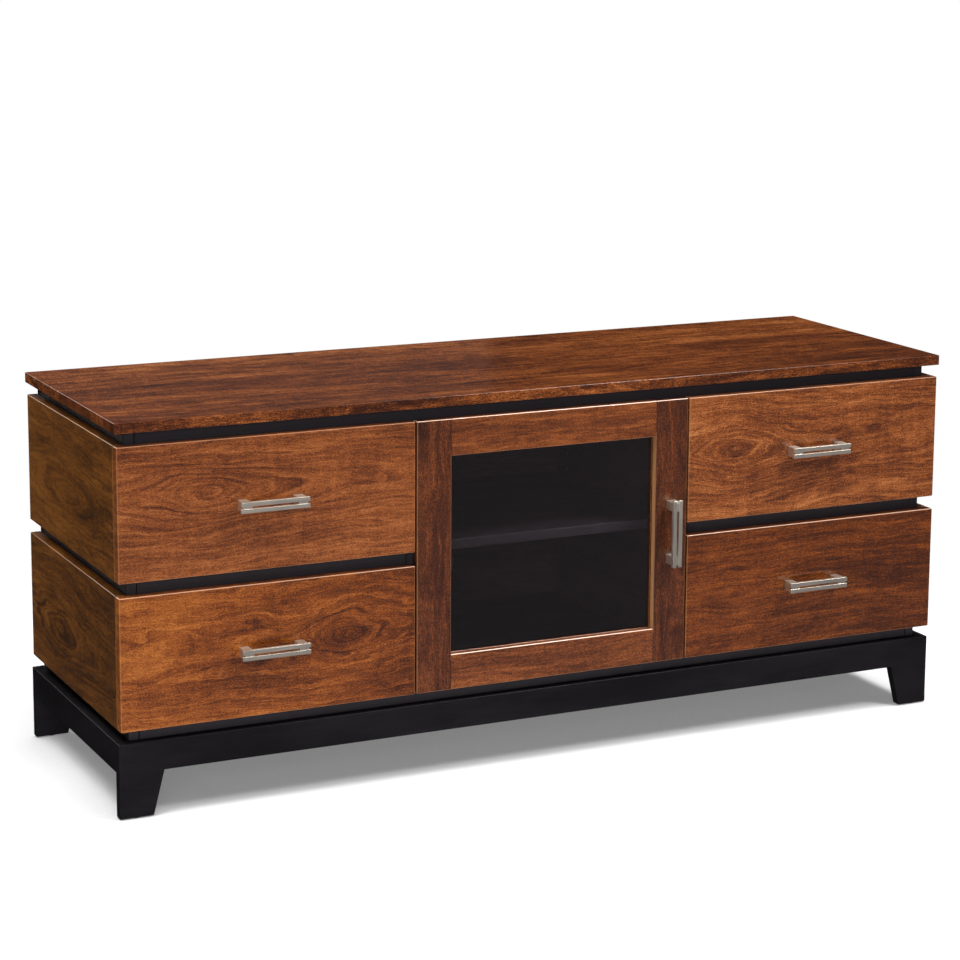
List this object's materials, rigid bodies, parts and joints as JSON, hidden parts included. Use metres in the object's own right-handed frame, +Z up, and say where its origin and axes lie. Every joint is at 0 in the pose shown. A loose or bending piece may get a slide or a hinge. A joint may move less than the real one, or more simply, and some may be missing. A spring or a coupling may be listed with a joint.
{
  "type": "media console cabinet",
  "caption": "Low wood media console on a black base, with drawers on both sides and a glass door in the middle.",
  "frame": {"origin": "on the floor, at the middle of the whole cabinet's bounding box, pulls included", "axes": "+X along the width to the right seen from the front, +Y from front to back, +Z up; the fronts face -Y"},
  "size_m": [1.65, 0.554, 0.693],
  "materials": {
    "stained_wood": "reddish-brown stained cherry, satin lacquer",
    "black_lacquer": "black lacquered wood, satin",
    "drawer_birch": "clear-coated birch plywood, satin",
    "brushed_nickel": "brushed nickel",
    "zinc_steel": "zinc-plated sheet steel",
    "clear_glass": "clear float glass, polished",
    "black_plastic": "matt moulded plastic"
  },
  "bodies": {
    "cabinet": {"back_panel": "black_lacquer", "base_back": "black_lacquer", "base_front": "black_lacquer", "base_panel": "black_lacquer", "base_side_left": "black_lacquer", "base_side_right": "black_lacquer", "cable_grommet": "black_plastic", "carcass_bottom": "black_lacquer", "carcass_side_left": "black_lacquer", "carcass_side_right": "black_lacquer", "carcass_top": "black_lacquer", "divider_left": "black_lacquer", "divider_right": "black_lacquer", "drawer_rail_left": "black_lacquer", "drawer_rail_right": "black_lacquer", "hinge_arm_lower": "brushed_nickel", "hinge_arm_upper": "brushed_nickel", "runner_case_lower_left_inner": "zinc_steel", "runner_case_lower_left_outer": "zinc_steel", "runner_case_lower_right_inner": "zinc_steel", "runner_case_lower_right_outer": "zinc_steel", "runner_case_upper_left_inner": "zinc_steel", "runner_case_upper_left_outer": "zinc_steel", "runner_case_upper_right_inner": "zinc_steel", "runner_case_upper_right_outer": "zinc_steel", "shelf": "black_lacquer", "side_skin_lower_left": "stained_wood", "side_skin_lower_right": "stained_wood", "side_skin_upper_left": "stained_wood", "side_skin_upper_right": "stained_wood", "top_slab": "stained_wood"},
    "door": {"door_glass": "clear_glass", "door_pull": "brushed_nickel", "door_rail_bottom": "stained_wood", "door_rail_top": "stained_wood", "door_stile_left": "stained_wood", "door_stile_right": "stained_wood", "glass_retainer": "stained_wood", "hinge_cup_lower": "brushed_nickel", "hinge_cup_upper": "brushed_nickel"},
    "drawer_lower_left": {"drawer_box_lower_left": "drawer_birch", "drawer_front_lower_left": "stained_wood", "drawer_pull_lower_left": "brushed_nickel", "runner_drawer_lower_left_inner": "zinc_steel", "runner_drawer_lower_left_outer": "zinc_steel"},
    "drawer_lower_right": {"drawer_box_lower_right": "drawer_birch", "drawer_front_lower_right": "stained_wood", "drawer_pull_lower_right": "brushed_nickel", "runner_drawer_lower_right_inner": "zinc_steel", "runner_drawer_lower_right_outer": "zinc_steel"},
    "drawer_upper_left": {"drawer_box_upper_left": "drawer_birch", "drawer_front_upper_left": "stained_wood", "drawer_pull_upper_left": "brushed_nickel", "runner_drawer_upper_left_inner": "zinc_steel", "runner_drawer_upper_left_outer": "zinc_steel"},
    "drawer_upper_right": {"drawer_box_upper_right": "drawer_birch", "drawer_front_upper_right": "stained_wood", "drawer_pull_upper_right": "brushed_nickel", "runner_drawer_upper_right_inner": "zinc_steel", "runner_drawer_upper_right_outer": "zinc_steel"}
  },
  "joints": [
    {"name": "drawer_upper_left_slide", "type": "slide", "parent": "cabinet", "child": "drawer_upper_left", "axis": [0, -1, 0], "range_m": [0, 0.4]},
    {"name": "drawer_upper_right_slide", "type": "slide", "parent": "cabinet", "child": "drawer_upper_right", "axis": [0, -1, 0], "range_m": [0, 0.4]},
    {"name": "drawer_lower_left_slide", "type": "slide", "parent": "cabinet", "child": "drawer_lower_left", "axis": [0, -1, 0], "range_m": [0, 0.4]},
    {"name": "drawer_lower_right_slide", "type": "slide", "parent": "cabinet", "child": "drawer_lower_right", "axis": [0, -1, 0], "range_m": [0, 0.4]},
    {"name": "door_hinge", "type": "hinge", "parent": "cabinet", "child": "door", "pos_m": [-0.27277, -0.248, 0.40425], "axis": [0, 0, -1], "range_deg": [0, 90]}
  ]
}
